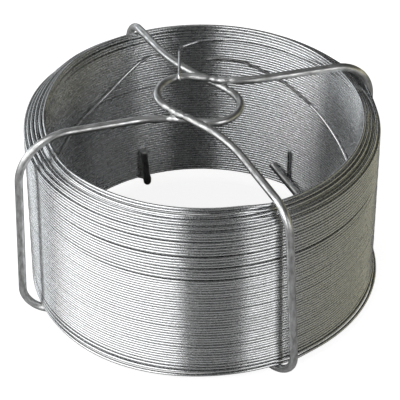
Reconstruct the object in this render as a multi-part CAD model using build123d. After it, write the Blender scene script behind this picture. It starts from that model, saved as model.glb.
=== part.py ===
"""Coil of thin galvanised wire on a carrier of two bent wires.

Lengths are in millimetres and angles in degrees. The origin is on the coil's
axis at floor level, +Z is up and the photographed side faces -Y. Angles around
the axis count from +X towards +Y.
"""
import os
from math import cos, radians, sin, tan

from build123d import *

# Wound wire
wire_diameter = 1.0
layer_pitch = 1.0
layer_count = 6
coil_outer_diameter = 118.0
coil_height = 64.2
top_setback = 0.85
wire_sides = 8
ridge_height_share = 0.35
ridge_shares = ((0, 0), (0.5, 1), (1, 0))

# Carrier wire
carrier_diameter = 2.7
carrier_sides = 12
seat_clearance = 0.3
carrier_shift = 1.1
floor_bend_radius = 4.7
tail_bend_radius = 3.5

# Middle ring of the carrier, made by both wires
ring_radius = 10.0
ring_offset = 3.7
ring_lag = 1.0
ring_rise = 1.9
ring_entry_heading = -9.0
ring_exit_heading = 138.0
entry_straight = 17.0
exit_straight = 26.5
entry_bend_radius = 25.0
exit_bend_radius = 60.0

# Arm that leaves the ring sideways, with a slanting lower run
side_arm_angle = 201.8
side_arm_lean = -3.6
side_arm_flare = 0.9
side_arm_lift = 1.9
lower_side_stand_off = 2.1
upper_side_stand_off = 1.75
lower_side_rim_radius = 14.0
upper_side_rim_radius = 11.0
lower_side_floor_radius = 6.8
lower_side_foot_angle = 209.0
upper_side_foot_angle = 222.5
side_tail_sweep = 16.5
side_tail_height = 10.5
side_tail_inset = 3.0

# Arm that leaves the ring lengthways, with an upright tail
lower_long_arm_angle = 114.4
upper_long_arm_angle = 115.95
lower_long_stand_off = 1.6
upper_long_stand_off = 3.0
long_arm_lean = 3.1
long_rim_radius = 10.0
upper_long_floor_radius = 5.6
long_foot_angle = 112.6
long_tail_angle = 113.6
long_tail_height = 16.5
long_tail_inset = 2.0
long_foot_inset = 3.2

# Free end of the wire that hooks over the ring
hook_leave_angle = 85.0
hook_corner_angle = 99.2
hook_corner_inset = 3.6
hook_corner_drop = 7.0
hook_angle = 111.0
hook_bend_radius = 1.5
hook_tip_drop = 2.0
hook_hump_share = 0.6
hook_hump_radius = 6.0

# Free end of the wire that stands up in the bore
upright_leave_angle = 47.0
upright_angle = 53.5
upright_length = 17.0
upright_gap = 0.25
upright_bend_radius = 1.5


def around(radius: float, angle: float, height: float) -> Vector:
    """Point at a radius, angle and height about the coil's axis."""
    return Vector(radius * cos(radians(angle)), radius * sin(radians(angle)), height)


# Sizes that follow from the values above
wire_radius = wire_diameter / 2
carrier_radius = carrier_diameter / 2
coil_outer_radius = coil_outer_diameter / 2
coil_inner_radius = coil_outer_radius - layer_count * layer_pitch
coil_bottom = carrier_diameter + seat_clearance
coil_top = coil_bottom + coil_height
ridge_height = ridge_height_share * wire_diameter
inner_layer_radius = coil_inner_radius + layer_pitch / 2
arm_seat = coil_top + seat_clearance + carrier_radius
lower_ring_height = arm_seat + ring_rise
upper_ring_height = lower_ring_height + carrier_diameter + seat_clearance


def coil_profile() -> None:
    """Draw the coil's section, with one ridge for each layer on both ends."""
    corners = []
    for layer in range(layer_count):
        inside = coil_inner_radius + layer * layer_pitch
        base = coil_bottom + ridge_height
        for across_share, depth_share in ridge_shares[:-1]:
            corners.append((inside + across_share * layer_pitch, base - depth_share * ridge_height))
    corners.append((coil_outer_radius, coil_bottom + ridge_height))
    for layer in reversed(range(layer_count)):
        outside = coil_inner_radius + (layer + 1) * layer_pitch
        base = coil_top - layer * top_setback - ridge_height
        for across_share, depth_share in ridge_shares:
            corners.append((outside - across_share * layer_pitch, base + depth_share * ridge_height))
    Polyline(*corners, close=True)


def swept_wire(points: list, radii: list, diameter: float, sides: int) -> Part:
    """Wire along straight runs joined by tangent arcs, its round drawn with few sides."""
    path = FilletPolyline(*points, radius=radii)
    start = Plane(origin=path @ 0, z_dir=path % 0)
    with BuildPart() as wire:
        with BuildSketch(start) as section:
            RegularPolygon(diameter / 2, sides)
        sweep(path=path)
    share = wire.part.volume / section.sketch.area / path.length
    print(f"wire of {path.length:.1f} mm, volume over section times length {share:.4f}")
    return wire.part


def rim_corner(arm_angle: float, run_radius: float, lift: float, bend: Vector) -> Vector:
    """Corner where an arm turns down outside the coil.

    The arm's straight run from its bend by the ring passes over the coil's
    inner layer at the seat, or at its lift above the seat, and goes on to the
    corner.
    """
    bend_radius = Vector(bend.X, bend.Y, 0).length
    slope = (arm_seat + lift - bend.Z) / (inner_layer_radius - bend_radius)
    height = arm_seat + lift + slope * (run_radius - inner_layer_radius)
    return around(run_radius, arm_angle, height)


def carrier_wire(
    ring_height: float,
    side_stand_off: float,
    side_radii: tuple,
    side_foot_angle: float,
    long_stand_off: float,
    long_radii: tuple,
    long_arm_angle: float,
) -> Part:
    """One carrier wire: tail, arm, part of the ring, arm and tail.

    The wire is made about the carrier's own axis.

    Args:
        ring_height: Height of the wire's middle where it makes the ring.
        side_stand_off: Space between the coil and the sideways arm.
        side_radii: Bend radii of the sideways arm, at the floor and at the rim.
        side_foot_angle: Angle around the axis where the sideways arm's tail starts.
        long_stand_off: Space between the coil and the lengthways arm.
        long_radii: Bend radii of the lengthways arm, at the rim and at the floor.
        long_arm_angle: Angle around the axis of the lengthways arm.
    """
    turn = ring_exit_heading - ring_entry_heading
    middle = (ring_exit_heading + ring_entry_heading) / 2 - 90
    reach = ring_radius / cos(radians(turn / 2))
    tangent = ring_radius * tan(radians(turn / 2))
    ring_corner = Vector(ring_offset, -ring_lag, ring_height) + around(reach, middle, 0)
    entry_bend = ring_corner - around(tangent + entry_straight, ring_entry_heading, 0)
    exit_bend = ring_corner + around(tangent + exit_straight, ring_exit_heading, 0)
    side_run = coil_outer_radius + side_stand_off + carrier_radius
    side_top = rim_corner(side_arm_angle, side_run, side_arm_lift, entry_bend)
    side_low = around(side_run + side_arm_flare, side_arm_angle + side_arm_lean, carrier_radius)
    long_run = coil_outer_radius + long_stand_off + carrier_radius
    long_top = rim_corner(long_arm_angle, long_run, 0, exit_bend)
    long_low = around(long_run, long_arm_angle + long_arm_lean, carrier_radius)
    side_radius = coil_inner_radius - side_tail_inset
    side_foot = around(side_radius, side_foot_angle, carrier_radius)
    side_end = around(side_radius, side_foot_angle + side_tail_sweep, carrier_radius + side_tail_height)
    long_foot = around(coil_inner_radius - long_foot_inset, long_foot_angle, carrier_radius)
    long_end = around(coil_inner_radius - long_tail_inset, long_tail_angle, long_tail_height)
    points = [
        side_end, side_foot, side_low, side_top, entry_bend, ring_corner,
        exit_bend, long_top, long_low, long_foot, long_end,
    ]
    radii = [
        tail_bend_radius, *side_radii, entry_bend_radius, ring_radius,
        exit_bend_radius, *long_radii, tail_bend_radius,
    ]
    return swept_wire(points, radii, carrier_diameter, carrier_sides)


def hook_end() -> Part:
    """Free end that leaves the top of the inner layer and hooks over the ring."""
    corner_height = coil_top - hook_corner_drop
    leave = around(inner_layer_radius, hook_leave_angle, corner_height)
    corner = around(coil_inner_radius - hook_corner_inset, hook_corner_angle, corner_height)
    crest = upper_ring_height + carrier_radius + seat_clearance + wire_radius
    ring_side = carrier_radius + seat_clearance + wire_radius
    ring_centre = Vector(-carrier_shift - ring_offset, ring_lag, 0)
    behind = ring_centre + around(ring_radius + ring_side, hook_angle, crest)
    before = ring_centre + around(ring_radius - ring_side, hook_angle, crest)
    over = Vector(before.X, behind.Y, crest)
    lower_crest = lower_ring_height + carrier_radius + seat_clearance + wire_radius
    hump_plan = corner + (over - corner) * hook_hump_share
    hump = Vector(hump_plan.X, hump_plan.Y, lower_crest)
    tip = Vector(before.X, before.Y, crest - hook_tip_drop)
    points = [leave, corner, hump, over, before, tip]
    radii = [hook_bend_radius, hook_hump_radius, hook_bend_radius, hook_bend_radius]
    return swept_wire(points, radii, wire_diameter, wire_sides)


def upright_end() -> Part:
    """Free end that leaves the bottom of the inner layer and stands in the bore."""
    radius = coil_inner_radius - upright_gap - wire_radius
    foot_height = coil_bottom + wire_diameter
    leave = around(inner_layer_radius, upright_leave_angle, foot_height)
    corner = around(radius, upright_angle, foot_height)
    tip = around(radius, upright_angle, coil_bottom + upright_length)
    return swept_wire([leave, corner, tip], [upright_bend_radius], wire_diameter, wire_sides)


def wire_coil() -> Part:
    """The wound ring as one turned solid, with the wire's two free ends."""
    with BuildPart() as ring:
        with BuildSketch(Plane.XZ):
            with BuildLine():
                coil_profile()
            make_face()
        revolve(axis=Axis.Z)
    return ring.part + hook_end() + upright_end()


def main() -> None:
    """Build the three pieces and write one STEP file for each."""
    os.makedirs("parts", exist_ok=True)
    shift = Location((-carrier_shift, 0, 0))
    lower = carrier_wire(
        lower_ring_height, lower_side_stand_off, (lower_side_floor_radius, lower_side_rim_radius),
        lower_side_foot_angle, lower_long_stand_off, (long_rim_radius, floor_bend_radius),
        lower_long_arm_angle,
    )
    upper = carrier_wire(
        upper_ring_height, upper_side_stand_off, (floor_bend_radius, upper_side_rim_radius),
        upper_side_foot_angle, upper_long_stand_off, (long_rim_radius, upper_long_floor_radius),
        upper_long_arm_angle,
    )
    pieces = {
        "wire_coil": wire_coil(),
        "lower_carrier_wire": shift * lower,
        "upper_carrier_wire": shift * (Rot(0, 0, 180) * upper),
    }
    for name, piece in pieces.items():
        print(name, "solids", len(piece.solids()), "volume", round(piece.volume, 1), piece.bounding_box())
        export_step(piece, f"parts/{name}.step")


if __name__ == "__main__":
    main()
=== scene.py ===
"""Looks of a coil of thin galvanised wire on its carrier of two bent wires.

Sizes in the classes are in millimetres and degrees, in the part's own frame: the
origin is on the coil's axis at floor level, +Z is up and the photographed side
faces -Y. Angles around the axis count from +X towards +Y. Meshes are made in
metres.
"""
import logging
import math
from dataclasses import dataclass, field, replace
from enum import Enum

import bpy
import numpy as np
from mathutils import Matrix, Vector

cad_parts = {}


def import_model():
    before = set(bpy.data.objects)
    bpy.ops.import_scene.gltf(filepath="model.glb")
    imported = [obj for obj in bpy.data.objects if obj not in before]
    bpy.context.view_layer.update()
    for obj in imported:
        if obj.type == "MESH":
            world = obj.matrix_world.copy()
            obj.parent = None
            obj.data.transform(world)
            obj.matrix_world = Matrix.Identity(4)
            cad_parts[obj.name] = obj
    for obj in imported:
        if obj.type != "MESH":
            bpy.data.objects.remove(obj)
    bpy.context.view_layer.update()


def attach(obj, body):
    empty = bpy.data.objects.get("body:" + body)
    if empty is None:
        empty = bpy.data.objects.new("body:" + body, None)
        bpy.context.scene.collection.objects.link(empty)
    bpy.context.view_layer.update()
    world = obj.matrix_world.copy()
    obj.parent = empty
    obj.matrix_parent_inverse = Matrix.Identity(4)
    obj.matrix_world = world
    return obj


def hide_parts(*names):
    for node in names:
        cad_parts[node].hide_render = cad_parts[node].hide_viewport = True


LOG = logging.getLogger("wire_coil_scene")
METRES_PER_MM = 0.001
FULL_TURN = 360.0
UPWARD = np.array([0.0, 0.0, 1.0])
BODY = "root"
WHITE = (1.0, 1.0, 1.0)
WARM = (1.0, 0.95, 0.62)
COOL = (0.95, 0.98, 1.0)

Pair = tuple[float, float]
Triple = tuple[float, float, float]


class Finish(Enum):
    """Finishes of the part, by the record's material slots."""

    COIL_WIRE = "coil_wire"
    CARRIER_WIRE = "carrier_wire"


def smooth_step(values: np.ndarray) -> np.ndarray:
    """Ease from 0 to 1 as the values go from 0 to 1."""
    held = np.clip(values, 0.0, 1.0)
    return held * held * (3.0 - 2.0 * held)


def angle_apart(angles: np.ndarray, middle: float | np.ndarray) -> np.ndarray:
    """Signed degrees from a middle angle, between -180 and 180."""
    return (angles - middle + FULL_TURN / 2) % FULL_TURN - FULL_TURN / 2


def bell(angles: np.ndarray, middle: float, half_width: float, power: int = 2) -> np.ndarray:
    """Share that is 1 at a middle angle and fades past a half width, more sharply with a higher power."""
    return np.exp(-((angle_apart(angles, middle) / half_width) ** power))


def around(radius: float, angle: float, height: float) -> np.ndarray:
    """Point at a radius, angle and height about the coil's axis."""
    turn = math.radians(angle)
    return np.array([radius * math.cos(turn), radius * math.sin(turn), height])


class Waver:
    """Smooth seeded wander along a wire, of about one unit each way."""

    def __init__(self, seed: int, slowest: float, fastest: float, count: int = 7) -> None:
        """Draw the waves.

        Args:
            seed: Seed of the draw.
            slowest: Fewest waves in one unit of length.
            fastest: Most waves in one unit of length.
            count: Number of waves that are added up.
        """
        draw = np.random.default_rng(seed)
        self.rates = draw.uniform(slowest, fastest, count)
        self.phases = draw.uniform(0.0, 2.0 * math.pi, count)

    def at(self, places: np.ndarray) -> np.ndarray:
        """Wander at places along the wire."""
        waves = np.sin(2.0 * math.pi * np.outer(places, self.rates) + self.phases)
        return waves.sum(axis=1) / math.sqrt(len(self.rates))


def directions(path: np.ndarray) -> np.ndarray:
    """Direction of a path at each of its points."""
    steps = np.gradient(path, axis=0)
    return steps / np.linalg.norm(steps, axis=1)[:, None]


@dataclass
class WireMesh:
    """One mesh that swept wires and turned rings are added to.

    The texture coordinates run around the wire from 0 to 1 and along it in metres.
    """

    name: str
    points: list[np.ndarray] = field(default_factory=list)
    faces: list[list[int]] = field(default_factory=list)
    coordinates: list[np.ndarray] = field(default_factory=list)
    flat_faces: set[int] = field(default_factory=set)
    count: int = 0

    def add_wire(self, path: np.ndarray, radius: np.ndarray | float, sides: int, outward: np.ndarray) -> None:
        """Sweep a round section along a path and close both ends.

        Args:
            path: Points of the wire's middle, in millimetres.
            radius: Radius of the wire, one or one for each point.
            sides: Sides of the section.
            outward: Direction at each point where the section starts.
        """
        along = directions(path)
        first = outward - np.sum(outward * along, axis=1)[:, None] * along
        first /= np.linalg.norm(first, axis=1)[:, None]
        second = np.cross(along, first)
        turns = np.linspace(0.0, 2.0 * math.pi, sides, endpoint=False)[None, :, None]
        spread = np.broadcast_to(np.asarray(radius, float), len(path))[:, None, None]
        offsets = np.cos(turns) * first[:, None, :] + np.sin(turns) * second[:, None, :]
        self._add_rings(path[:, None, :] + spread * offsets, path)

    def _add_rings(self, rings: np.ndarray, path: np.ndarray) -> None:
        """Join rings of points into a closed skin.

        Args:
            rings: Points of each ring, in millimetres.
            path: Middle of each ring.
        """
        length, sides = rings.shape[:2]
        start = self.count
        self.points.append(rings.reshape(-1, 3))
        self.count += length * sides
        row = np.arange(length - 1)[:, None] * sides + start
        this = np.arange(sides)[None, :]
        following = (this + 1) % sides
        quads = np.stack([row + this, row + following, row + sides + following, row + sides + this], axis=-1)
        self.faces.extend(quads.reshape(-1, 4).tolist())
        lengths = np.linalg.norm(np.diff(path, axis=0), axis=1)
        run = np.concatenate([[0.0], np.cumsum(lengths)]) * METRES_PER_MM
        share = np.broadcast_to(this / sides, quads.shape[:2])
        next_share = share + 1.0 / sides
        low = np.broadcast_to(run[:-1, None], share.shape)
        high = np.broadcast_to(run[1:, None], share.shape)
        corners = np.stack([share, low, next_share, low, next_share, high, share, high], axis=-1)
        self.coordinates.append(corners.reshape(-1, 2))
        for ring, backwards, distance in ((0, True, run[0]), (length - 1, False, run[-1])):
            cap = [start + ring * sides + side for side in range(sides)]
            self.flat_faces.add(len(self.faces))
            self.faces.append(cap[::-1] if backwards else cap)
            self.coordinates.append(np.full((sides, 2), distance))

    def make(self, material: bpy.types.Material) -> bpy.types.Object:
        """Make the Blender object.

        Args:
            material: Material of the whole mesh.

        Returns:
            The new object, linked to the scene.
        """
        mesh = bpy.data.meshes.new(self.name)
        mesh.from_pydata((np.concatenate(self.points) * METRES_PER_MM).tolist(), [], self.faces)
        layer = mesh.uv_layers.new(name="wire")
        layer.data.foreach_set("uv", np.concatenate(self.coordinates).ravel())
        smooth = [index not in self.flat_faces for index in range(len(self.faces))]
        mesh.polygons.foreach_set("use_smooth", smooth)
        mesh.materials.append(material)
        mesh.update()
        piece = bpy.data.objects.new(self.name, mesh)
        bpy.context.collection.objects.link(piece)
        return piece


def carried_frames(path: np.ndarray, start: np.ndarray) -> np.ndarray:
    """Carry a direction across a path along it, so that it turns with it and doesn't twist.

    Args:
        path: Points of the wire's middle.
        start: Direction at the first point.

    Returns:
        One direction for each point.
    """
    frames = [start]
    for tangent in directions(path)[1:]:
        kept = frames[-1] - np.dot(frames[-1], tangent) * tangent
        frames.append(kept / np.linalg.norm(kept))
    return np.array(frames)


def bent_path(corners: list[np.ndarray], radii: list[float], step: float) -> np.ndarray:
    """Lay a path of straight runs joined by round bends.

    Args:
        corners: Ends and corners of the path, in millimetres.
        radii: Bend radius at each corner between the ends.
        step: Greatest distance between points.

    Returns:
        Points along the path.
    """
    knots = [np.asarray(corner, float) for corner in corners]
    bends = [[knots[0]]]
    for before, corner, after, radius in zip(knots, knots[1:], knots[2:], radii):
        back = (before - corner) / np.linalg.norm(before - corner)
        ahead = (after - corner) / np.linalg.norm(after - corner)
        opening = math.acos(float(np.clip(back @ ahead, -1.0, 1.0)))
        middle = (back + ahead) / np.linalg.norm(back + ahead)
        centre = corner + middle * radius / math.sin(opening / 2)
        reach = radius / math.tan(opening / 2)
        entry = corner + back * reach - centre
        leave = corner + ahead * reach - centre
        sweep = math.pi - opening
        pieces = max(3, math.ceil(sweep * radius / step))
        # The spokes of a bend turn evenly from its first to its last.
        shares = np.linspace(0.0, 1.0, pieces + 1)[:, None]
        spokes = np.sin((1.0 - shares) * sweep) * entry + np.sin(shares * sweep) * leave
        bends.append(list(centre + spokes / math.sin(sweep)))
    bends.append([knots[-1]])
    points = []
    for bend, following in zip(bends, bends[1:]):
        points.extend(bend)
        gap = following[0] - bend[-1]
        pieces = max(1, math.ceil(float(np.linalg.norm(gap)) / step))
        points.extend(bend[-1] + gap * share / pieces for share in range(1, pieces))
    points.append(knots[-1])
    return np.array(points)


@dataclass(frozen=True)
class WireFinish:
    """Look of one galvanised wire.

    The colours are linear. The colour mixed in on the sides of the wire, where turns touch, is painted shade.
    Mottle and streaks have two sizes: around is the radius of the wire's round in the pattern, and along is
    the pattern's length on one metre of wire. The drawn shine stretches reflections across the wire.
    """

    name: str
    bright: Triple
    dull: Triple
    groove_shade_colour: Triple
    roughness_low: float
    roughness_high: float
    mottle_around: float
    mottle_along: float
    streaks_around: float
    streaks_along: float
    streak_bump: float
    groove_shade_start: float
    groove_shade_amount: float
    drawn_shine: float


class ShaderGroups:
    """Node groups that the wire finishes share."""

    noise_roughness = 0.6
    mottle_detail = 3.0
    mottle_low = 0.34
    mottle_high = 0.66
    streak_detail = 2.0
    streak_depth = 0.00005

    def __init__(self) -> None:
        """Build every group once."""
        self.mottle = self._zinc_mottle()
        self.streaks = self._drawn_streaks()
        self.grooves = self._painted_groove_shade()

    @staticmethod
    def _group(
        name: str, inputs: dict[str, float], outputs: list[str]
    ) -> tuple[bpy.types.NodeTree, bpy.types.Node, bpy.types.Node]:
        """Start a group with named sockets.

        Args:
            name: Name of the group.
            inputs: Name and first value of each input.
            outputs: Name of each output.

        Returns:
            The group, its input node and its output node.
        """
        group = bpy.data.node_groups.new(name, "ShaderNodeTree")
        for label, default in inputs.items():
            socket = group.interface.new_socket(name=label, in_out="INPUT", socket_type="NodeSocketFloat")
            socket.default_value = default
        for label in outputs:
            group.interface.new_socket(name=label, in_out="OUTPUT", socket_type="NodeSocketFloat")
        return group, group.nodes.new("NodeGroupInput"), group.nodes.new("NodeGroupOutput")

    @staticmethod
    def _math(
        group: bpy.types.NodeTree,
        operation: str,
        first: bpy.types.NodeSocket | float,
        second: bpy.types.NodeSocket | float | None = None,
    ) -> bpy.types.NodeSocket:
        """Add a math node and return its output.

        Args:
            group: Node group that takes the node.
            operation: Name of the operation.
            first: Socket or number of the first term.
            second: Socket or number of the second term, if it has one.

        Returns:
            The output socket.
        """
        node = group.nodes.new("ShaderNodeMath")
        node.operation = operation
        for socket, term in zip(node.inputs, (first, second)):
            if isinstance(term, bpy.types.NodeSocket):
                group.links.new(term, socket)
            elif term is not None:
                socket.default_value = term
        return node.outputs[0]

    def _skin_noise(
        self, group: bpy.types.NodeTree, given: bpy.types.Node, detail: float
    ) -> bpy.types.NodeSocket:
        """Add noise on the wire's skin that closes around the wire.

        Args:
            group: Node group with inputs named Around and Along.
            given: Input node of the group.
            detail: Number of finer noises that are added.

        Returns:
            The noise's output socket.
        """
        place = group.nodes.new("ShaderNodeTexCoord")
        split = group.nodes.new("ShaderNodeSeparateXYZ")
        join = group.nodes.new("ShaderNodeCombineXYZ")
        noise = group.nodes.new("ShaderNodeTexNoise")
        noise.inputs["Scale"].default_value = 1.0
        noise.inputs["Detail"].default_value = detail
        noise.inputs["Roughness"].default_value = self.noise_roughness
        group.links.new(place.outputs["UV"], split.inputs["Vector"])
        turn = self._math(group, "MULTIPLY", split.outputs["X"], 2.0 * math.pi)
        for operation, axis in (("COSINE", "X"), ("SINE", "Y")):
            side = self._math(group, operation, turn)
            group.links.new(self._math(group, "MULTIPLY", side, given.outputs["Around"]), join.inputs[axis])
        along = self._math(group, "MULTIPLY", split.outputs["Y"], given.outputs["Along"])
        group.links.new(along, join.inputs["Z"])
        group.links.new(join.outputs["Vector"], noise.inputs["Vector"])
        return noise.outputs["Fac"]

    def _zinc_mottle(self) -> bpy.types.NodeTree:
        """Make short brighter and duller dashes of zinc along the wire.

        Returns:
            The node group.
        """
        group, given, result = self._group("zinc_mottle", {"Around": 0.6, "Along": 300.0}, ["Mask"])
        contrast = group.nodes.new("ShaderNodeMapRange")
        contrast.inputs["From Min"].default_value = self.mottle_low
        contrast.inputs["From Max"].default_value = self.mottle_high
        group.links.new(self._skin_noise(group, given, self.mottle_detail), contrast.inputs["Value"])
        group.links.new(contrast.outputs["Result"], result.inputs["Mask"])
        return group

    def _drawn_streaks(self) -> bpy.types.NodeTree:
        """Make fine lines along the wire, left by drawing it through a die.

        Returns:
            The node group.
        """
        group, given, result = self._group("drawn_streaks", {"Around": 3.0, "Along": 200.0}, ["Height"])
        height = self._skin_noise(group, given, self.streak_detail)
        group.links.new(height, result.inputs["Height"])
        return group

    def _painted_groove_shade(self) -> bpy.types.NodeTree:
        """Darken the sides of the wire, where turns touch, as painted shade.

        Returns:
            The node group.
        """
        group, given, result = self._group("painted_groove_shade", {"Start": 0.8, "Amount": 1.0}, ["Mask"])
        place = group.nodes.new("ShaderNodeTexCoord")
        split = group.nodes.new("ShaderNodeSeparateXYZ")
        ramp = group.nodes.new("ShaderNodeMapRange")
        ramp.interpolation_type = "SMOOTHSTEP"
        link = group.links.new
        link(place.outputs["UV"], split.inputs["Vector"])
        turn = self._math(group, "MULTIPLY", split.outputs["X"], 2.0 * math.pi)
        link(self._math(group, "ABSOLUTE", self._math(group, "SINE", turn)), ramp.inputs["Value"])
        link(given.outputs["Start"], ramp.inputs["From Min"])
        amount = self._math(group, "MULTIPLY", ramp.outputs["Result"], given.outputs["Amount"])
        link(amount, result.inputs["Mask"])
        return group

    @staticmethod
    def _placed(
        nodes: bpy.types.Nodes, group: bpy.types.NodeTree, values: dict[str, float]
    ) -> bpy.types.Node:
        """Place a group in a material.

        Args:
            nodes: Nodes of the material.
            group: Group to place.
            values: Name and value of each of its inputs.

        Returns:
            The group's node.
        """
        node = nodes.new("ShaderNodeGroup")
        node.node_tree = group
        for label, value in values.items():
            node.inputs[label].default_value = value
        return node

    def material(self, finish: WireFinish) -> bpy.types.Material:
        """Make the material of one wire.

        Args:
            finish: Look of the wire.

        Returns:
            The new material.
        """
        made = bpy.data.materials.new(finish.name)
        made.use_nodes = True
        nodes, link = made.node_tree.nodes, made.node_tree.links.new
        shader = nodes["Principled BSDF"]
        shader.inputs["Metallic"].default_value = 1.0
        shader.inputs["Anisotropic"].default_value = finish.drawn_shine
        # The tangent runs around the wire, as the first texture coordinate does.
        across = nodes.new("ShaderNodeTangent")
        across.direction_type = "UV_MAP"
        across.uv_map = "wire"
        link(across.outputs["Tangent"], shader.inputs["Tangent"])
        mottle_size = {"Around": finish.mottle_around, "Along": finish.mottle_along}
        streak_size = {"Around": finish.streaks_around, "Along": finish.streaks_along}
        groove_shading = {"Start": finish.groove_shade_start, "Amount": finish.groove_shade_amount}
        mottle = self._placed(nodes, self.mottle, mottle_size)
        streaks = self._placed(nodes, self.streaks, streak_size)
        grooves = self._placed(nodes, self.grooves, groove_shading)
        zinc = nodes.new("ShaderNodeMix")
        zinc.data_type = "RGBA"
        zinc.inputs["A"].default_value = (*finish.dull, 1.0)
        zinc.inputs["B"].default_value = (*finish.bright, 1.0)
        # Painted shade: the groove mask mixes a dark colour into the sides of the wire, where turns touch.
        groove_shade_mix = nodes.new("ShaderNodeMix")
        groove_shade_mix.data_type = "RGBA"
        groove_shade_mix.inputs["B"].default_value = (*finish.groove_shade_colour, 1.0)
        shine = nodes.new("ShaderNodeMapRange")
        shine.inputs["To Min"].default_value = finish.roughness_high
        shine.inputs["To Max"].default_value = finish.roughness_low
        relief = nodes.new("ShaderNodeBump")
        relief.inputs["Strength"].default_value = finish.streak_bump
        relief.inputs["Distance"].default_value = self.streak_depth
        link(mottle.outputs["Mask"], zinc.inputs["Factor"])
        link(zinc.outputs["Result"], groove_shade_mix.inputs["A"])
        link(grooves.outputs["Mask"], groove_shade_mix.inputs["Factor"])
        link(groove_shade_mix.outputs["Result"], shader.inputs["Base Color"])
        link(mottle.outputs["Mask"], shine.inputs["Value"])
        link(shine.outputs["Result"], shader.inputs["Roughness"])
        link(streaks.outputs["Height"], relief.inputs["Height"])
        link(relief.outputs["Normal"], shader.inputs["Normal"])
        return made


@dataclass(frozen=True)
class Gap:
    """Space between two neighbouring turns that shows as a dark line."""

    height: float
    opening: float
    middle: float
    half_width: float
    reach: float = 5.0
    edge: float = 0.2

    def shift(self, heights: np.ndarray, angles: np.ndarray) -> np.ndarray:
        """Find how far turns move to open the gap.

        Args:
            heights: Heights above the coil's bottom as wound.
            angles: Angle around the axis at each height.

        Returns:
            Upward shift at each height.
        """
        apart = heights - self.height
        near = np.exp(-np.abs(apart) / self.reach)
        window = bell(angles, self.middle, self.half_width, 4)
        return self.opening / 2 * np.tanh(apart / self.edge) * near * window


@dataclass(frozen=True)
class Swell:
    """Place where the top turns stand higher and further out than the rest."""

    middle: float
    half_width: float
    start: float
    depth: float
    rise: float
    outward: float

    def share(self, heights: np.ndarray, angles: np.ndarray) -> np.ndarray:
        """How much of the swell reaches turns at heights and angles, from 0 to 1."""
        return bell(angles, self.middle, self.half_width) * smooth_step((heights - self.start) / self.depth)


@dataclass(frozen=True)
class Parting:
    """Last turns of a layer that part from their neighbours on one side."""

    length: float
    middle: float
    half_width: float
    outward: float
    drop: float
    ease: float = 0.2

    def share(self, turns: np.ndarray, angles: np.ndarray) -> np.ndarray:
        """How much of the parting reaches each point of a layer, from 0 to 1."""
        last = smooth_step((turns - turns[-1] + self.length) / self.ease)
        return last * bell(angles, self.middle, self.half_width, 4)


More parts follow.
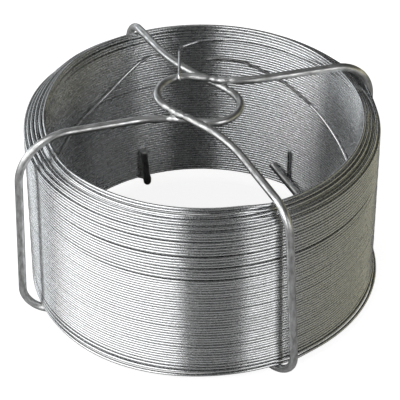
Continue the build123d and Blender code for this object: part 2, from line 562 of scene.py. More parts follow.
@dataclass
class WireCoil:
    """The wound wire: its layers of turns and its two free ends.

    Heights are above the coil's bottom, and layers are counted from the bore.
    Lifts and leans are those of the bore's layer and of the outer one. A wander is
    how far a turn strays up and outwards. A lay is a row of angles with heights. The
    end parting is that of the layer next to the bore's. The core is a plain ring in
    place of the turns that can't be seen, darkened all over with painted shade.
    """

    material: bpy.types.Material
    bore_material: bpy.types.Material
    # Darker material, as painted shade on one length of the slack turn.
    painted_shade_material: bpy.types.Material
    wire_radius: float = 0.5
    inner_radius: float = 53.0
    layer_pitch: float = 1.0
    layer_count: int = 6
    bottom: float = 3.0
    height: float = 64.2
    top_setback: float = 0.85
    lifts: Pair = (0.68, 0.5)
    leans: Pair = (0.78, 0.05)
    lip_angle: float = 182.0
    lip_half_width: float = 30.0
    lip_reach: float = 1.3
    lip_layers: float = 4.0
    lip_start: float = 56.0
    lip_depth: float = 5.0
    arm_dents: tuple[tuple[float, tuple[float, ...]], ...] = (
        (114.4, (0.9, 0.45, 0.1, 0.0, 0.2, 0.9)),
        (203.0, (0.0, 0.0, 0.0, 0.0, 0.3, 0.7)),
    )
    dent_half_width: float = 6.0
    dent_depth: float = 2.0
    outer_seam: float = 150.0
    outer_wander: Pair = (0.05, 0.04)
    outer_gaps: tuple[Gap, ...] = (
        Gap(55.9, 0.25, 247.0, 26.0),
        Gap(50.0, 0.4, 258.0, 36.0),
        Gap(45.75, 0.6, 302.0, 42.0),
        Gap(41.1, 0.55, 255.0, 32.0),
        Gap(48.5, 0.5, 80.0, 45.0),
        Gap(36.0, 0.4, 130.0, 30.0),
        Gap(30.0, 0.3, 20.0, 40.0),
    )
    back_swell: Swell = Swell(160.0, 17.0, 46.0, 12.0, 0.6, 0.5)
    right_swell: Swell = Swell(24.0, 9.0, 50.0, 8.0, 0.9, 0.6)
    foot_bulges: tuple[Triple, ...] = ((350.0, 40.0, 1.5), (238.0, 27.0, 1.1))
    foot_bulge_top: float = 1.6
    foot_bulge_fade: float = 1.2
    sag_angle: float = 300.5
    sag_half_width: float = 4.0
    sag_depth: float = 0.75
    sag_fade: float = 2.0
    bore_seam: float = 296.0
    bore_wander: Pair = (0.03, 0.03)
    bore_gaps: tuple[Gap, ...] = (
        Gap(39.4, 0.3, 121.0, 16.0),
        Gap(61.5, 0.5, 138.0, 38.0),
        Gap(59.2, 0.35, 136.0, 28.0),
    )
    bore_parting: Parting = Parting(1.3, 252.0, 30.0, -0.4, 0.0)
    end_seams: tuple[tuple[int, float], ...] = ((1, 296.0), (2, 202.0), (3, 299.0), (4, 22.0))
    end_wander: Pair = (0.06, 0.06)
    end_pitch: float = 1.06
    end_tuck: float = 1.2
    end_swell: float = 0.12
    end_parting: Parting = Parting(1.2, 250.0, 26.0, 0.3, 0.35)
    slack_lay: tuple[Pair, ...] = (
        (-40.0, 10.0), (-20.0, 17.5), (0.0, 25.5), (19.6, 33.0), (30.5, 36.7), (39.4, 40.0), (49.0, 42.8),
        (56.7, 45.5), (66.2, 47.7), (70.4, 48.9), (76.4, 50.0), (84.6, 50.1), (89.4, 49.0), (92.8, 47.0),
        (106.9, 53.0), (110.5, 52.9), (113.8, 52.3), (119.0, 48.8), (127.7, 43.7), (135.8, 40.3),
        (144.5, 38.2), (155.2, 34.5), (159.7, 33.4), (180.0, 26.5), (210.0, 15.0), (240.0, 6.0),
    )
    slack_softening: float = 2.5
    slack_inset: float = 0.6
    slack_end_tuck: float = 2.0
    slack_end_length: float = 16.0
    slack_under_angle: float = 97.5
    slack_under_width: float = 8.5
    slack_under_depth: float = 2.4
    # The slack turn is darkened as painted shade between these two angles and set back this far.
    shade_start: float = 44.0
    shade_end: float = 97.0
    shade_set_back: float = 0.3
    hook_lay: tuple[Pair, ...] = (
        (20.0, 61.4), (40.0, 60.0), (50.0, 59.2), (70.0, 59.1), (79.0, 58.8), (92.0, 57.7),
    )
    hook_touch: Pair = (42.0, 80.0)
    hook_inset: float = 0.55
    hook_leave_radius: float = 51.6
    hook_corner_angle: float = 99.2
    hook_corner_inset: float = 3.6
    hook_corner_height: float = 57.2
    hook_hump_bend: float = 6.0
    end_bend: float = 1.5
    upright_leave_angle: float = 47.0
    upright_angle: float = 53.5
    upright_gap: float = 0.05
    upright_height: float = 17.0
    core_cover: float = 0.8
    core_low: float = 1.4
    core_below_top: float = 1.9
    core_steps: int = 120
    tuck_turns: float = 0.04
    outer_steps: int = 120
    outer_sides: int = 10
    bore_steps: int = 96
    bore_sides: int = 8
    hook_steps: int = 40
    end_step: float = 0.5

    def layer_radius(self, layer: int) -> float:
        """Radius of the middle of the wire in a layer."""
        return self.inner_radius + (layer + 0.5) * self.layer_pitch

    def layer_top(self, layer: int) -> float:
        """Height of the middle of a layer's top turn."""
        return self.height - layer * self.top_setback - self.wire_radius

    def leaned(self, heights: np.ndarray, angles: np.ndarray, layer: int) -> np.ndarray:
        """Lean the winding, which stands higher at the front and is dented by the arms.

        Args:
            heights: Heights as wound.
            angles: Angle around the axis at each height.
            layer: Layer of the turns.

        Returns:
            The heights as the coil stands.
        """
        share = layer / (self.layer_count - 1)
        lift = self.lifts[0] + share * (self.lifts[1] - self.lifts[0])
        lean = self.leans[0] + share * (self.leans[1] - self.leans[0])
        front = -np.sin(np.radians(angles))
        near_top = np.exp(-np.maximum(self.layer_top(layer) - heights, 0.0) / self.dent_depth)
        pressed = np.zeros_like(heights)
        for arm_angle, depths in self.arm_dents:
            pressed += depths[layer] * bell(angles, arm_angle, self.dent_half_width) * near_top
        return heights + (lift + lean * front) * heights / self.height - pressed

    def add_turns(
        self, mesh: WireMesh, radii: np.ndarray, angles: np.ndarray, heights: np.ndarray, sides: int
    ) -> None:
        """Add one length of wound wire.

        Args:
            mesh: Mesh that takes the wire.
            radii: Radius of the wire's middle at each point.
            angles: Angle around the axis at each point.
            heights: Height at each point.
            sides: Sides of the wire's section.
        """
        turn = np.radians(angles)
        outward = np.stack([np.cos(turn), np.sin(turn), np.zeros_like(turn)], axis=-1)
        path = outward * radii[:, None]
        path[:, 2] = heights + self.bottom
        mesh.add_wire(path, self.wire_radius, sides, outward)

    def tuck(self, turns: np.ndarray, depth: float) -> np.ndarray:
        """Shift that takes both ends of a layer's wire under its neighbours."""
        from_ends = np.minimum(turns - turns[0], turns[-1] - turns)
        return depth * (1.0 - smooth_step(from_ends / self.tuck_turns))

    def lip(self, angles: np.ndarray, layer: int) -> np.ndarray:
        """Shift towards the bore of a layer's loose top turns on the left side."""
        share = max(0.0, 1.0 - layer / self.lip_layers)
        return self.lip_reach * share * bell(angles, self.lip_angle, self.lip_half_width, 4)

    def turn_levels(
        self, layer: int, loose_bottom: list[float], loose_top: list[float], body_pitch: float
    ) -> np.ndarray:
        """Find the heights of a layer's turns, with loose turns at its ends.

        Args:
            layer: Layer of the turns.
            loose_bottom: Pitches of the lowest turns.
            loose_top: Pitches of the highest turns.
            body_pitch: Pitch of the turns between, about.

        Returns:
            Height of the wire's middle at each whole turn.
        """
        body_height = self.layer_top(layer) - self.wire_radius - sum(loose_bottom) - sum(loose_top)
        body_turns = round(body_height / body_pitch)
        pitches = loose_bottom + [body_height / body_turns] * body_turns + loose_top
        return self.wire_radius + np.concatenate([[0.0], np.cumsum(pitches)])

    @staticmethod
    def wound(
        levels: np.ndarray, seam: float, steps: int, gaps: tuple[Gap, ...]
    ) -> tuple[np.ndarray, np.ndarray, np.ndarray, np.ndarray]:
        """Wind one layer and open its gaps.

        Args:
            levels: Height of the wire's middle at each whole turn.
            seam: Angle around the axis where the layer starts.
            steps: Points on each turn.
            gaps: Gaps between turns of the layer.

        Returns:
            Turns from the start, angle, height as wound and height with the gaps
            open, at each point.
        """
        count = len(levels) - 1
        turns = np.linspace(0.0, count, count * steps + 1)
        angles = seam + FULL_TURN * turns
        heights = np.interp(turns, np.arange(count + 1), levels)
        opened = heights.copy()
        for gap in gaps:
            opened += gap.shift(heights, angles)
        return turns, angles, heights, opened

    def outer_layer(self) -> WireMesh:
        """Wind the layer that shows on the outside, with its loose turns and gaps.

        Returns:
            The layer's mesh.
        """
        outermost = self.layer_count - 1
        levels = self.turn_levels(outermost, loose_bottom=[1.35] * 3, loose_top=[1.16] * 16, body_pitch=1.03)
        winding = self.wound(levels, self.outer_seam, self.outer_steps, self.outer_gaps)
        turns, angles, heights, opened = winding
        opened += self.outer_wander[0] * Waver(seed=11, slowest=0.8, fastest=4.0).at(turns)
        radii = self.outer_wander[1] * Waver(seed=12, slowest=0.8, fastest=5.0).at(turns)
        radii += self.layer_radius(outermost)
        for swell in (self.back_swell, self.right_swell):
            share = swell.share(heights, angles)
            opened += swell.rise * share
            radii += swell.outward * share
        near_foot = np.exp(-(heights - self.wire_radius) / self.sag_fade)
        opened -= self.sag_depth * bell(angles, self.sag_angle, self.sag_half_width) * near_foot
        bulge = np.exp(-np.maximum(heights - self.foot_bulge_top, 0.0) / self.foot_bulge_fade)
        for middle, half_width, reach in self.foot_bulges:
            radii += reach * bell(angles, middle, half_width) * bulge
        radii += self.tuck(turns, -self.layer_pitch)
        mesh = WireMesh("outer_turns")
        self.add_turns(mesh, radii, angles, self.leaned(opened, angles, outermost), self.outer_sides)
        return mesh

    def bore_layer(self) -> WireMesh:
        """Wind the layer that shows in the bore, with a few open turns.

        Returns:
            The layer's mesh.
        """
        levels = self.turn_levels(0, loose_bottom=[], loose_top=[1.15] * 5, body_pitch=1.025)
        winding = self.wound(levels, self.bore_seam, self.bore_steps, self.bore_gaps)
        turns, angles, heights, opened = winding
        opened += self.bore_wander[0] * Waver(seed=21, slowest=0.8, fastest=4.0).at(turns)
        opened += self.tuck(turns, -self.wire_radius)
        radii = self.bore_wander[1] * Waver(seed=22, slowest=0.8, fastest=5.0).at(turns)
        radii += self.layer_radius(0)
        radii += self.bore_parting.outward * self.bore_parting.share(turns, angles)
        radii -= self.lip(angles, 0) * smooth_step((heights - self.lip_start) / self.lip_depth)
        radii += self.tuck(turns, self.layer_pitch)
        mesh = WireMesh("bore_turns")
        self.add_turns(mesh, radii, angles, self.leaned(opened, angles, 0), self.bore_sides)
        return mesh

    def slack_turn(self, first: float, last: float) -> tuple[np.ndarray, np.ndarray, np.ndarray]:
        """Lay one length of the slack turn that lies aslant in the bore.

        Args:
            first: Angle around the axis where the length starts.
            last: Angle around the axis where it ends.

        Returns:
            Radius, angle and height at each point.
        """
        lay_angles, lay_heights = zip(*self.slack_lay)
        angles = np.arange(first, last + 1.0)
        shifts = np.linspace(-self.slack_softening, self.slack_softening, 6)
        heights = np.mean([np.interp(angles + shift, lay_angles, lay_heights) for shift in shifts], axis=0)
        from_ends = np.minimum(angles - lay_angles[0], lay_angles[-1] - angles)
        radii = self.inner_radius - self.slack_inset
        radii += self.slack_end_tuck * (1.0 - smooth_step(from_ends / self.slack_end_length))
        radii += self.slack_under_depth * bell(angles, self.slack_under_angle, self.slack_under_width, 6)
        return radii, angles, heights

    def end_turns(self) -> WireMesh:
        """Wind the end turns of the layers between, which show on the coil's top and bottom.

        Returns:
            The mesh of all these turns.
        """
        mesh = WireMesh("end_turns")
        back = self.back_swell
        for layer, seam in self.end_seams:
            for at_top, count, seed in ((True, 3, 30 + layer), (False, 2, 40 + layer)):
                lowest = self.layer_top(layer) - count * self.end_pitch if at_top else self.wire_radius
                turns = np.linspace(0.0, count, count * self.outer_steps + 1)
                angles = seam + FULL_TURN * turns
                heights = lowest + self.end_pitch * turns
                heights += self.end_wander[0] * Waver(seed, slowest=0.5, fastest=3.0).at(turns)
                heights += self.tuck(turns, -self.end_tuck if at_top else self.end_tuck)
                radii = self.end_wander[1] * Waver(seed + 20, slowest=0.5, fastest=3.0).at(turns)
                radii += self.layer_radius(layer)
                if at_top:
                    radii -= self.lip(angles, layer)
                    heights += self.end_swell * layer * bell(angles, back.middle, back.half_width)
                if at_top and layer == 1:
                    parted = self.end_parting.share(turns, angles)
                    radii += self.end_parting.outward * parted
                    heights -= self.end_parting.drop * parted
                self.add_turns(mesh, radii, angles, self.leaned(heights, angles, layer), self.bore_sides)
        return mesh

    def packed_core(self) -> WireMesh:
        """Fill in the hidden turns between the layers, as one ring.

        Returns:
            The ring's mesh.
        """
        mesh = WireMesh("packed_turns")
        outermost = self.layer_count - 1
        inside = self.layer_radius(0) + self.wire_radius
        outside = self.layer_radius(outermost) - self.core_cover
        radii = (inside, outside, outside, inside)
        tops = [self.layer_top(layer) - self.core_below_top for layer in (outermost, 0)]
        heights = np.array([self.core_low, self.core_low, *tops])
        # A quarter of the way around the wire is its side, where the painted groove shade is strongest, so
        # the whole ring is darkened as painted shade between the turns.
        groove = 0.25
        sides = len(radii)
        total = self.core_steps * sides
        rings = []
        for angle in np.linspace(0.0, FULL_TURN, self.core_steps, endpoint=False):
            levels = self.bottom + self.leaned(heights, np.full(sides, angle), 1)
            rings.extend(around(radius, angle, level) for radius, level in zip(radii, levels))
        mesh.points.append(np.array(rings))
        mesh.count = total
        for start in range(0, total, sides):
            for side in range(sides):
                following = (side + 1) % sides
                ahead = start + sides
                face = [start + side, (ahead + side) % total, (ahead + following) % total, start + following]
                mesh.flat_faces.add(len(mesh.faces))
                mesh.faces.append(face[::-1])
                mesh.coordinates.append(np.full((len(face), 2), groove))
        return mesh

    def free_ends(self, carrier: "Carrier") -> WireMesh:
        """Lay the end that hooks over the ring, the end that stands in the bore and the slack turn.

        Args:
            carrier: Carrier whose ring the upper end hooks over.

        Returns:
            The mesh of these lengths.
        """
        mesh = WireMesh("free_ends")
        lay_angles, lay_heights = zip(*self.hook_lay)
        touching = self.inner_radius - self.hook_inset
        angles = np.linspace(lay_angles[0], lay_angles[-1], self.hook_steps)
        heights = self.bottom + np.interp(angles, lay_angles, lay_heights)
        leaving = (self.layer_radius(0), touching, touching, self.hook_leave_radius)
        radii = np.interp(angles, (lay_angles[0], *self.hook_touch, lay_angles[-1]), leaving)
        lay = [around(*place) for place in zip(radii, angles, heights)]
        corner_radius = self.inner_radius - self.hook_corner_inset
        corner = around(corner_radius, self.hook_corner_angle, self.bottom + self.hook_corner_height)
        over, before, tip, hump = carrier.hook_corners(corner, self.wire_radius)
        bends = [self.end_bend, self.hook_hump_bend, self.end_bend, self.end_bend]
        hook = bent_path([lay[-1], corner, hump, over, before, tip], bends, self.end_step)
        upright_radius = self.inner_radius - self.upright_gap - self.wire_radius
        foot = self.bottom + 2.0 * self.wire_radius
        corners = [
            around(self.layer_radius(0), self.upright_leave_angle, foot),
            around(upright_radius, self.upright_angle, foot),
            around(upright_radius, self.upright_angle, self.bottom + self.upright_height),
        ]
        upright = bent_path(corners, [self.end_bend], self.end_step)
        for path in (np.concatenate([lay[:-1], hook]), upright):
            mesh.add_wire(path, self.wire_radius, self.outer_sides, carried_frames(path, UPWARD))
        # The length between these is laid apart and darkened as painted shade.
        bright_lengths = ((self.slack_lay[0][0], self.shade_start), (self.shade_end, self.slack_lay[-1][0]))
        for first, last in bright_lengths:
            self.add_turns(mesh, *self.slack_turn(first, last), self.outer_sides)
        return mesh

    def painted_shade_turn(self) -> WireMesh:
        """Lay the length of the slack turn that is darkened as painted shade.

        Returns:
            The length's mesh.
        """
        mesh = WireMesh("painted_shade_turn")
        radii, angles, heights = self.slack_turn(self.shade_start, self.shade_end)
        self.add_turns(mesh, radii + self.shade_set_back, angles, heights, self.outer_sides)
        return mesh

    def build(self, carrier: "Carrier") -> list[bpy.types.Object]:
        """Make every piece of the coil.

        Args:
            carrier: Carrier that the free end hooks over.

        Returns:
            The pieces.
        """
        # The slack turn's middle length takes the darker material, as painted shade.
        materials = {"bore_turns": self.bore_material, "painted_shade_turn": self.painted_shade_material}
        meshes = [self.outer_layer(), self.bore_layer(), self.end_turns(), self.packed_core()]
        meshes += [self.free_ends(carrier), self.painted_shade_turn()]
        pieces = []
        for mesh in meshes:
            piece = mesh.make(materials.get(mesh.name, self.material))
            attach(piece, BODY)
            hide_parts("wire_coil")
            pieces.append(piece)
        return pieces


@dataclass(frozen=True)
class CarrierBends:
    """Where one carrier wire differs from the other.

    The side arm leaves the ring sideways and ends in a slanting tail. The long arm
    leaves it lengthways and ends in an upright tail. A foot turn is one more bend of
    the long arm, in its run under the coil.
    """

    node: str
    half_turn: bool
    ring_height: float
    side_stand_off: float
    side_floor_radius: float
    side_rim_radius: float
    side_lift: float
    side_foot_angle: float
    side_tail_inset: float
    long_stand_off: float
    long_rim_radius: float
    long_floor_radius: float
    long_arm_angle: float
    long_seat_shift: float
    long_lean: float
    long_flare: float
    seed: int
    foot_turn_angle: float | None = None


@dataclass
class Carrier:
    """The two bent wires that hold the coil and make the ring on top."""

    material: bpy.types.Material
    coil: WireCoil
    wire_radius: float = 1.35
    clearance: float = 0.3
    shift: float = 1.1
    tail_bend: float = 3.5
    ring_radius: float = 10.0
    ring_offset: float = 3.7
    ring_lag: float = 1.0
    ring_rise: float = 1.9
    entry_heading: float = -9.0
    exit_heading: float = 138.0
    entry_straight: float = 17.0
    exit_straight: float = 26.5
    entry_bend: float = 25.0
    exit_bend: float = 60.0
    side_angle: float = 201.8
    side_lean: float = -2.9
    side_flare: float = 0.9
    side_tail_sweep: float = 19.3
    side_tail_height: float = 11.3
    foot_turn_outset: float = 1.9
    foot_turn_bend: float = 1.8
    long_foot_angle: float = 112.4
    long_foot_inset: float = 3.2
    long_tail_angle: float = 113.2
    long_tail_inset: float = 2.0
    long_tail_height: float = 16.5
    weld_reach: float = 1.6
    weld_set_down: float = 0.4
    weld_lumps: float = 0.1
    weld_notch: float = 0.24
    notch_share: float = 0.3
    notch_width: float = 0.14
    hook_angle: float = 111.0
    hook_tip_drop: float = 2.0
    hook_hump_share: float = 0.6
    sides: int = 20
    step: float = 0.8

    @property
    def arm_seat(self) -> float:
        """Height of an arm's middle where it lies on the coil."""
        return self.coil.bottom + self.coil.height + self.clearance + self.wire_radius

    @property
    def outer_radius(self) -> float:
        """Outer radius of the coil."""
        return self.coil.inner_radius + self.coil.layer_count * self.coil.layer_pitch

    def wires(self) -> tuple[CarrierBends, CarrierBends]:
        """Give the two wires their bends.

        Returns:
            The wire with the lower ring and the wire with the upper ring.
        """
        lower_ring = self.arm_seat + self.ring_rise
        upper_ring = lower_ring + 2.0 * self.wire_radius + self.clearance
        return (
            CarrierBends(
                node="lower_carrier_wire", half_turn=False, ring_height=lower_ring,
                side_stand_off=2.1, side_floor_radius=7.4, side_rim_radius=17.0, side_lift=3.4,
                side_foot_angle=209.0, side_tail_inset=3.0,
                long_stand_off=0.9, long_rim_radius=9.3, long_floor_radius=4.7, long_arm_angle=113.3,
                long_seat_shift=-1.1, long_lean=3.1, long_flare=0.0, seed=51, foot_turn_angle=110.2,
            ),
            CarrierBends(
                node="upper_carrier_wire", half_turn=True, ring_height=upper_ring,
                side_stand_off=1.75, side_floor_radius=4.7, side_rim_radius=13.0, side_lift=2.8,
                side_foot_angle=220.0, side_tail_inset=1.5,
                long_stand_off=3.0, long_rim_radius=10.0, long_floor_radius=9.3, long_arm_angle=116.2,
                long_seat_shift=1.1, long_lean=2.2, long_flare=2.4, seed=52,
            ),
        )

    def rim_corner(self, angle: float, run_radius: float, lift: float, bend: np.ndarray) -> np.ndarray:
        """Find the corner where an arm turns down outside the coil.

        Args:
            angle: Angle of the arm around the axis.
            run_radius: Radius at which the arm runs down.
            lift: Height of the arm over its seat where it crosses the inner layer.
            bend: Bend by the ring where the arm starts.

        Returns:
            The corner.
        """
        bend_radius = math.hypot(bend[0], bend[1])
        over_coil = self.coil.layer_radius(0)
        slope = (self.arm_seat + lift - bend[2]) / (over_coil - bend_radius)
        return around(run_radius, angle, self.arm_seat + lift + slope * (run_radius - over_coil))

    def path(self, bends: CarrierBends) -> np.ndarray:
        """Lay the middle of one wire, from the slanting tail to the upright tail.

        Args:
            bends: The wire.

        Returns:
            Points along the wire, in millimetres.
        """
        turn = self.exit_heading - self.entry_heading
        middle = (self.exit_heading + self.entry_heading) / 2 - 90.0
        reach = self.ring_radius / math.cos(math.radians(turn / 2))
        tangent = self.ring_radius * math.tan(math.radians(turn / 2))
        ring_centre = np.array([self.ring_offset, -self.ring_lag, bends.ring_height])
        ring_corner = ring_centre + around(reach, middle, 0.0)
        entry = ring_corner - around(tangent + self.entry_straight, self.entry_heading, 0.0)
        leave = ring_corner + around(tangent + self.exit_straight, self.exit_heading, 0.0)
        side_run = self.outer_radius + bends.side_stand_off + self.wire_radius
        long_run = self.outer_radius + bends.long_stand_off + self.wire_radius
        long_low = bends.long_arm_angle + bends.long_lean
        bore = self.coil.inner_radius
        tail_radius = bore - bends.side_tail_inset
        foot_angle = bends.side_foot_angle
        corners = [
            around(tail_radius, foot_angle + self.side_tail_sweep, self.wire_radius + self.side_tail_height),
            around(tail_radius, foot_angle, self.wire_radius),
            around(side_run + self.side_flare, self.side_angle + self.side_lean, self.wire_radius),
            self.rim_corner(self.side_angle, side_run, bends.side_lift, entry),
            entry,
            ring_corner,
            leave,
            self.rim_corner(bends.long_arm_angle, long_run, bends.long_seat_shift, leave),
            around(long_run + bends.long_flare, long_low, self.wire_radius),
            around(bore - self.long_foot_inset, self.long_foot_angle, self.wire_radius),
            around(bore - self.long_tail_inset, self.long_tail_angle, self.long_tail_height),
        ]
        radii = [
            self.tail_bend, bends.side_floor_radius, bends.side_rim_radius, self.entry_bend, self.ring_radius,
            self.exit_bend, bends.long_rim_radius, bends.long_floor_radius, self.tail_bend,
        ]
        if bends.foot_turn_angle is not None:
            foot_turn = around(bore + self.foot_turn_outset, bends.foot_turn_angle, self.wire_radius)
            corners.insert(-2, foot_turn)
            radii.insert(-1, self.foot_turn_bend)
        path = bent_path(corners, radii, self.step)
        if bends.half_turn:
            path[:, :2] *= -1.0
        path[:, 0] -= self.shift
        return path

    def weld_share(self, path: np.ndarray, other: np.ndarray) -> np.ndarray:
        """Find how near each point of one wire is to a weld, from 0 to 1.

        Args:
            path: Middle of the wire.
            other: Middle of the wire that it is welded to.

        Returns:
            One share for each point, 1 where the wires cross at the ring.
        """
        apart = np.linalg.norm(path[:, None, :2] - other[None, :, :2], axis=2).min(axis=1)
        return np.exp(-((apart / self.weld_reach) ** 2)) * (path[:, 2] > self.arm_seat)

    def hook_corners(
        self, start: np.ndarray, hook_radius: float
    ) -> tuple[np.ndarray, np.ndarray, np.ndarray, np.ndarray]:
        """Find the corners of the thin wire that hooks over the upper wire's ring.

        Args:
            start: Corner where the thin wire leaves the coil.
            hook_radius: Radius of the thin wire.

        Returns:
            The corner behind the ring, the corner before it, the tip and the
            corner over the lower arm.
        """
        lower, upper = self.wires()
        spare = self.wire_radius + self.clearance + hook_radius
        crest = upper.ring_height + spare
        centre = np.array([-self.shift - self.ring_offset, self.ring_lag, 0.0])
        behind = centre + around(self.ring_radius + spare, self.hook_angle, crest)
        before = centre + around(self.ring_radius - spare, self.hook_angle, crest)
        over = np.array([before[0], behind[1], crest])
        hump = start + (over - start) * self.hook_hump_share
        hump[2] = lower.ring_height + spare
        tip = before - self.hook_tip_drop * UPWARD
        return over, before, tip, hump

    def build(self) -> list[bpy.types.Object]:
        """Make both wires, with their welds.

        Returns:
            The two pieces.
        """
        lower, upper = self.wires()
        paths = {lower.node: self.path(lower), upper.node: self.path(upper)}
        pieces = []
        for bends, other, towards in ((lower, upper, 1.0), (upper, lower, -1.0)):
            path = paths[bends.node].copy()
            near = self.weld_share(path, paths[other.node])
            path[:, 2] += towards * self.weld_set_down * near
            places = np.arange(len(path)) * self.step
            lumps = 1.0 + self.weld_lumps * near * Waver(bends.seed, slowest=0.3, fastest=0.7).at(places)
            lumps -= self.weld_notch * np.exp(-(((near - self.notch_share) / self.notch_width) ** 2))
            mesh = WireMesh(bends.node + "_round")
            mesh.add_wire(path, self.wire_radius * lumps, self.sides, carried_frames(path, UPWARD))
            piece = mesh.make(self.material)
            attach(piece, BODY)
            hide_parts(bends.node)
            pieces.append(piece)
        return pieces


@dataclass(frozen=True)
class Panel:
    """One upright soft light around the object.

    The azimuth counts from the camera's side towards +X. It and the half width are in
    degrees, and the heights and the distance in metres.
    """

    name: str
    azimuth: float
    half_width: float
    low: float
    high: float
    distance: float
    radiance: float
    colour: Triple = WHITE

    @property
    def place(self) -> Triple:
        """Middle of the panel."""
        turn = math.radians(self.azimuth)
        return self.distance * math.sin(turn), -self.distance * math.cos(turn), (self.low + self.high) / 2

    @property
    def size(self) -> Pair:
        """Width and height of the panel."""
        return 2.0 * self.distance * math.tan(math.radians(self.half_width)), self.high - self.low


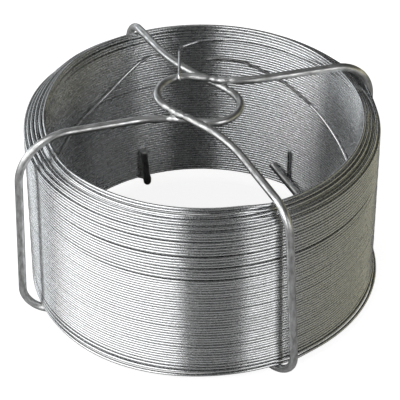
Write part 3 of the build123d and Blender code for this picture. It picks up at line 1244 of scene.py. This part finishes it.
@dataclass
class Studio:
    """Pale floor, soft lights and the camera at the photograph's angle.

    The camera's distance and its target's height are in millimetres, the rest of the
    stage in metres. The bore's shade is two radii and the floor's tone at each. The
    fill is the world's tone by direction, from level to overhead.
    """

    camera_distance: float = 703.56
    camera_elevation: float = 37.7638
    target_height: float = 33.01
    focal_pixels: float = 2070.65
    frame_pixels: float = 400.0
    target_pixel: Pair = (202.18, 193.93)
    sensor_width: float = 36.0
    clip: Pair = (0.01, 50.0)
    bore_shade: tuple[float, float, float, float] = (0.05, 0.062, 0.03, 0.5)
    floor_half: float = 3.0
    floor_roughness: float = 0.9
    floor_glow: float = 0.9
    panels: tuple[Panel, ...] = (
        Panel("left_front_light", -55.0, 42.0, 0.0, 2.0, 1.1, 2.28),
        Panel("left_light", -118.0, 21.0, 0.0, 0.38, 1.1, 2.15, COOL),
        Panel("front_right_light", 37.0, 12.0, 0.0, 0.95, 1.2, 2.15),
        Panel("right_light", 100.0, 45.0, 0.0, 0.42, 1.2, 0.62, WARM),
        Panel("back_light", -160.0, 20.0, 0.0, 0.9, 1.2, 0.68, COOL),
    )
    top_place: Triple = (0.0, 0.3, 1.4)
    top_size: Pair = (1.0, 1.0)
    top_radiance: float = 0.4
    fill: tuple[Pair, Pair] = ((0.0, 0.03), (0.9, 0.06))

    def floor(self) -> None:
        """Make the floor, almost white to the camera and in shade inside the bore."""
        half = self.floor_half
        mesh = bpy.data.meshes.new("floor")
        corners = [(-half, -half, 0.0), (half, -half, 0.0), (half, half, 0.0), (-half, half, 0.0)]
        mesh.from_pydata(corners, [], [(0, 1, 2, 3)])
        material = bpy.data.materials.new("pale_floor")
        material.use_nodes = True
        nodes, link = material.node_tree.nodes, material.node_tree.links.new
        shader = nodes["Principled BSDF"]
        shader.inputs["Roughness"].default_value = self.floor_roughness
        place = nodes.new("ShaderNodeTexCoord")
        reach = nodes.new("ShaderNodeVectorMath")
        reach.operation = "LENGTH"
        shade = nodes.new("ShaderNodeMapRange")
        for label, value in zip(("From Min", "From Max", "To Min", "To Max"), self.bore_shade):
            shade.inputs[label].default_value = value
        link(place.outputs["Object"], reach.inputs[0])
        link(reach.outputs["Value"], shade.inputs["Value"])
        link(shade.outputs["Result"], shader.inputs["Base Color"])
        shader.inputs["Emission Color"].default_value = (*WHITE, 1.0)
        seen = nodes.new("ShaderNodeLightPath")
        glow = nodes.new("ShaderNodeMath")
        glow.operation = "MULTIPLY"
        glow.inputs[1].default_value = self.floor_glow
        link(seen.outputs["Is Camera Ray"], glow.inputs[0])
        link(glow.outputs[0], shader.inputs["Emission Strength"])
        mesh.materials.append(material)
        floor = bpy.data.objects.new("floor", mesh)
        bpy.context.collection.objects.link(floor)

    @staticmethod
    def soft_light(
        name: str, place: Triple, size: Pair, radiance: float, colour: Triple, aim: Triple
    ) -> None:
        """Hang one large soft light.

        Args:
            name: Name of the light.
            place: Where it hangs, in metres.
            size: Width and height in metres.
            radiance: Brightness of its face.
            colour: Colour of the light.
            aim: Point that it faces, in metres.
        """
        data = bpy.data.lights.new(name, "AREA")
        data.shape = "RECTANGLE"
        data.size, data.size_y = size
        data.energy = radiance * math.pi * size[0] * size[1]
        data.color = colour
        lamp = bpy.data.objects.new(name, data)
        lamp.location = place
        lamp.rotation_euler = (Vector(aim) - Vector(place)).to_track_quat("-Z", "Y").to_euler()
        lamp.visible_camera = False
        bpy.context.collection.objects.link(lamp)

    def lights(self) -> None:
        """Hang the lights and set the world's soft fill."""
        for panel in self.panels:
            facing = (0.0, 0.0, panel.place[2])
            self.soft_light(panel.name, panel.place, panel.size, panel.radiance, panel.colour, facing)
        centre = (0.0, 0.0, 0.0)
        self.soft_light("top_light", self.top_place, self.top_size, self.top_radiance, WHITE, centre)
        world = bpy.data.worlds.new("fill")
        bpy.context.scene.world = world
        world.use_nodes = True
        nodes, link = world.node_tree.nodes, world.node_tree.links.new
        back = nodes["Background"]
        place = nodes.new("ShaderNodeTexCoord")
        split = nodes.new("ShaderNodeSeparateXYZ")
        ramp = nodes.new("ShaderNodeValToRGB")
        for stop, (position, tone) in zip(ramp.color_ramp.elements, self.fill):
            stop.position = position
            stop.color = (tone, tone, tone, 1.0)
        link(place.outputs["Generated"], split.inputs["Vector"])
        link(split.outputs["Z"], ramp.inputs["Fac"])
        link(ramp.outputs["Color"], back.inputs["Color"])

    def camera(self) -> None:
        """Place the camera where the photograph was taken from."""
        data = bpy.data.cameras.new("camera")
        data.sensor_fit = "HORIZONTAL"
        data.sensor_width = self.sensor_width
        data.lens = self.sensor_width * self.focal_pixels / self.frame_pixels
        data.shift_x = (self.frame_pixels / 2 - self.target_pixel[0]) / self.frame_pixels
        data.shift_y = (self.target_pixel[1] - self.frame_pixels / 2) / self.frame_pixels
        data.clip_start, data.clip_end = self.clip
        up = math.radians(self.camera_elevation)
        back = Vector((0.0, -math.cos(up), math.sin(up))) * self.camera_distance
        camera = bpy.data.objects.new("camera", data)
        camera.location = (Vector((0.0, 0.0, self.target_height)) + back) * METRES_PER_MM
        camera.rotation_euler = (math.pi / 2 - up, 0.0, 0.0)
        bpy.context.collection.objects.link(camera)
        bpy.context.scene.camera = camera

    def build(self) -> None:
        """Set the whole stage."""
        self.floor()
        self.lights()
        self.camera()
        bpy.context.scene.view_settings.view_transform = "Standard"


def main() -> None:
    """Build the coil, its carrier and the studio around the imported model."""
    logging.basicConfig(level=logging.INFO)
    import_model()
    groups = ShaderGroups()
    # In each finish, the colour mixed in on the sides of the wire is painted shade where turns touch.
    coil_finish = WireFinish(
        name="galvanised_outer_wire", bright=(0.75, 0.76, 0.77), dull=(0.66, 0.67, 0.675),
        groove_shade_colour=(0.1, 0.1, 0.098), roughness_low=0.2, roughness_high=0.29, mottle_around=0.5,
        mottle_along=650.0, streaks_around=2.2, streaks_along=300.0, streak_bump=0.15, groove_shade_start=0.86,
        groove_shade_amount=0.5, drawn_shine=0.65,
    )
    bore_finish = replace(
        coil_finish, name="galvanised_bore_wire", bright=(0.79, 0.8, 0.81), dull=(0.7, 0.71, 0.715),
        roughness_low=0.22, roughness_high=0.32, drawn_shine=0.72,
    )
    # A darker copy of the coil's finish, as painted shade on one length of the slack turn.
    painted_shade_finish = replace(
        coil_finish, name="painted_shade_wire", bright=(0.3, 0.3, 0.3), dull=(0.12, 0.12, 0.12),
        roughness_low=0.3, roughness_high=0.42,
    )
    carrier_finish = WireFinish(
        name="galvanised_carrier_wire", bright=(0.74, 0.745, 0.75), dull=(0.36, 0.365, 0.36),
        groove_shade_colour=(0.2, 0.2, 0.195), roughness_low=0.28, roughness_high=0.46, mottle_around=1.2,
        mottle_along=260.0, streaks_around=5.0, streaks_along=60.0, streak_bump=0.3, groove_shade_start=0.9,
        groove_shade_amount=0.0, drawn_shine=0.3,
    )
    coil = WireCoil(*(groups.material(finish) for finish in (coil_finish, bore_finish, painted_shade_finish)))
    carrier = Carrier(groups.material(carrier_finish), coil)
    for piece in coil.build(carrier) + carrier.build():
        LOG.info("%s has %d faces", piece.name, len(piece.data.polygons))
    Studio().build()


if __name__ == "__main__":
    main()
